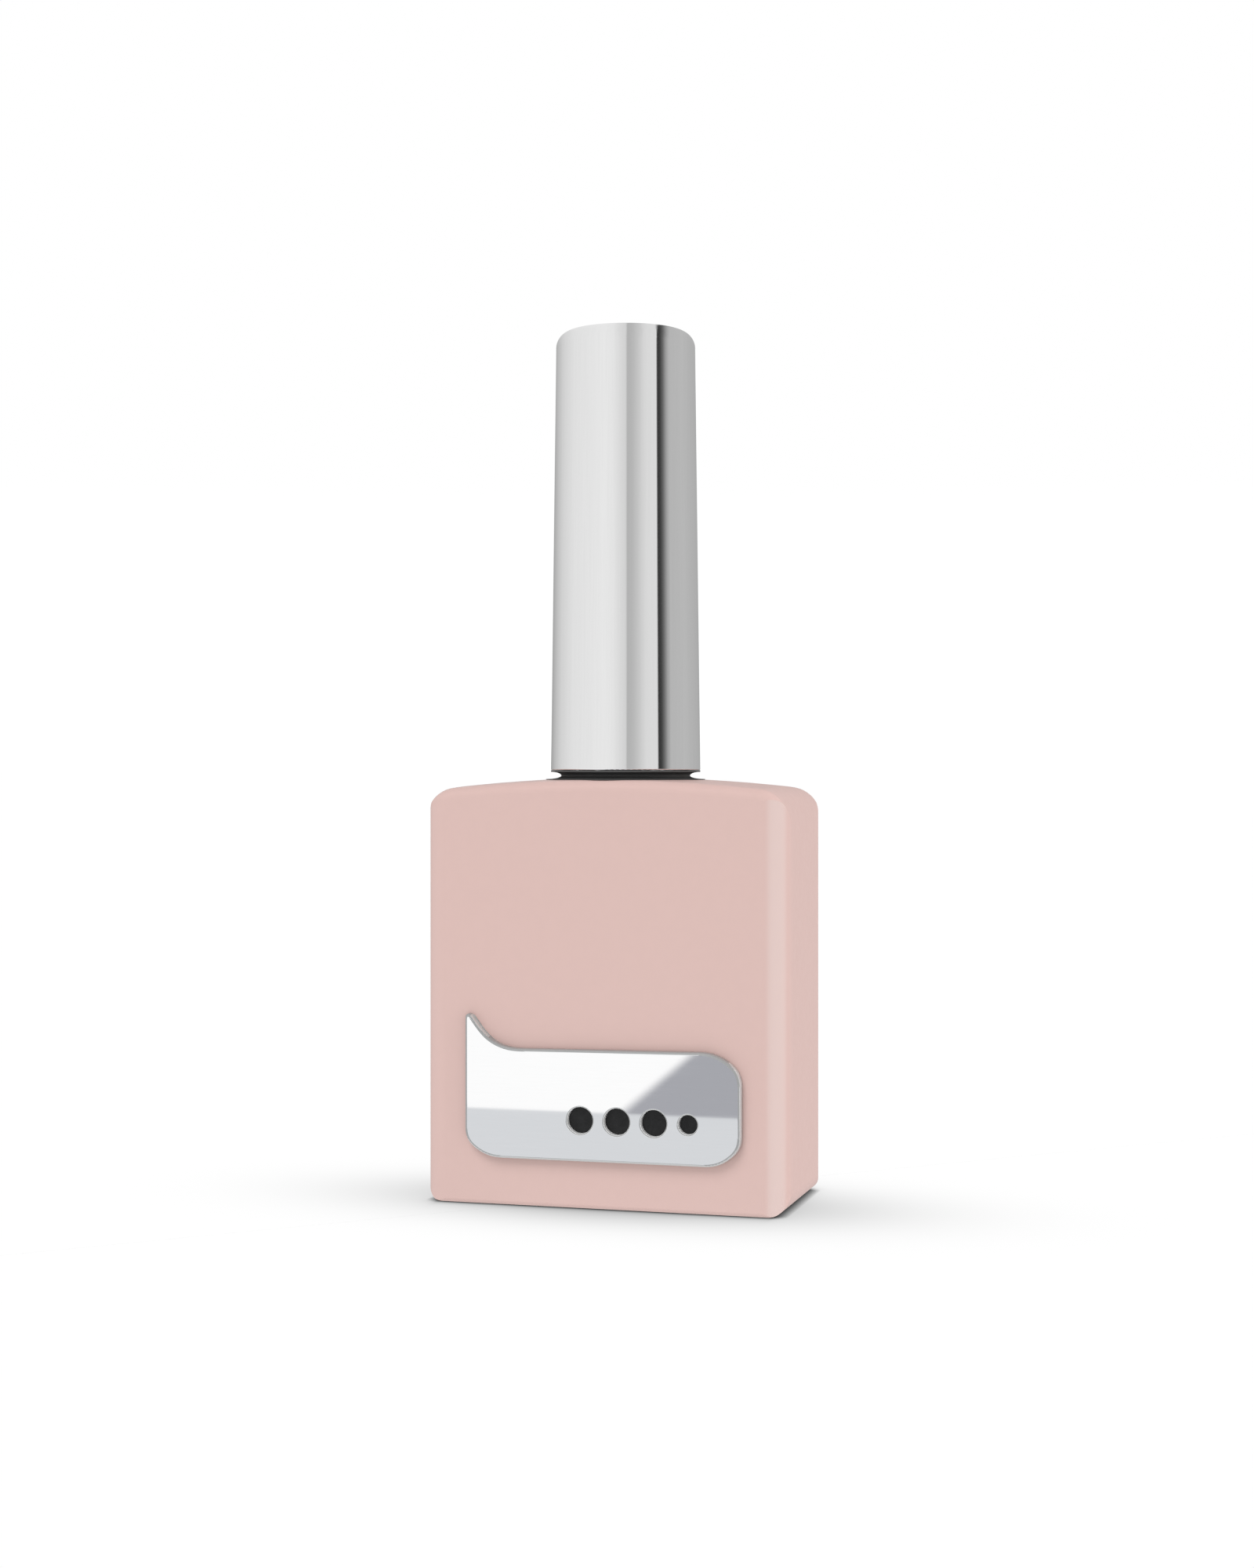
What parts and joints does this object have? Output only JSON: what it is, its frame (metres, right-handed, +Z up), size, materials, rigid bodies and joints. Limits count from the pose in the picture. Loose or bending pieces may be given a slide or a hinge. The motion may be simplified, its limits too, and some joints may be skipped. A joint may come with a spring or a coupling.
{
  "type": "nail polish bottle",
  "caption": "Rectangular domed glass nail polish bottle with a tall screw cap, brush, collar ring and front badge plate.",
  "frame": {"origin": "centre of the flat base of the glass body, on the axis of the neck and cap", "axes": "+Z up along the neck and cap axis; the badge face looks along -Y; +X to the right seen from the front"},
  "size_m": [0.0366, 0.0182, 0.0866],
  "materials": {
    "lacquered_glass": "satin pale pink lacquer on glass, clear on the neck",
    "polish": "glossy pale pink liquid",
    "steel": "polished stainless steel",
    "black_plastic": "satin black moulded plastic",
    "overcap_metal": "bright silver, lightly satin",
    "white_plastic": "soft translucent white liner",
    "stem_plastic": "smooth black moulded stem",
    "nylon": "fine dark nylon filament",
    "badge_mirror": "mirror-polished nickel",
    "adhesive": "thin double-sided adhesive film",
    "enamel": "sunk black enamel",
    "label_paper": "blank coated paper"
  },
  "bodies": {
    "bottle": {"glass_bottle": "lacquered_glass", "polish_fill": "polish", "badge_plate": "badge_mirror", "badge_adhesive": "adhesive", "badge_inlay_1": "enamel", "badge_inlay_2": "enamel", "badge_inlay_3": "enamel", "badge_inlay_4": "enamel", "base_label": "label_paper"},
    "collar": {"neck_collar": "black_plastic"},
    "washer": {"seal_washer": "white_plastic"},
    "cap": {"inner_cap": "black_plastic", "overcap": "overcap_metal", "brush_stem": "stem_plastic", "brush_staple": "steel", "brush_bristles": "nylon"},
    "ball_left": {"mixing_ball_left": "steel"},
    "ball_right": {"mixing_ball_right": "steel"}
  },
  "joints": [
    {"name": "cap_turn", "type": "hinge", "parent": "bottle", "child": "collar", "pos_m": [0, 0, 0.0426], "axis": [0, 0, 1], "range_deg": [0, 450]},
    {"name": "cap_lift", "type": "slide", "parent": "collar", "child": "washer", "axis": [0, 0, 1], "range_m": [0, 0.06]},
    {"name": "thread_rise", "type": "slide", "parent": "washer", "child": "cap", "axis": [0, 0, 1], "range_m": [0, 0.00265]},
    {"name": "ball_left_roll", "type": "slide", "parent": "bottle", "child": "ball_left", "axis": [1, 0, 0], "range_m": [-0.004, 0.004]},
    {"name": "ball_right_roll", "type": "slide", "parent": "bottle", "child": "ball_right", "axis": [1, 0, 0], "range_m": [-0.004, 0.004]}
  ],
  "couplings": [
    {"joint": "thread_rise", "follows": "cap_turn", "m_per_rad": 0.00033688}
  ]
}
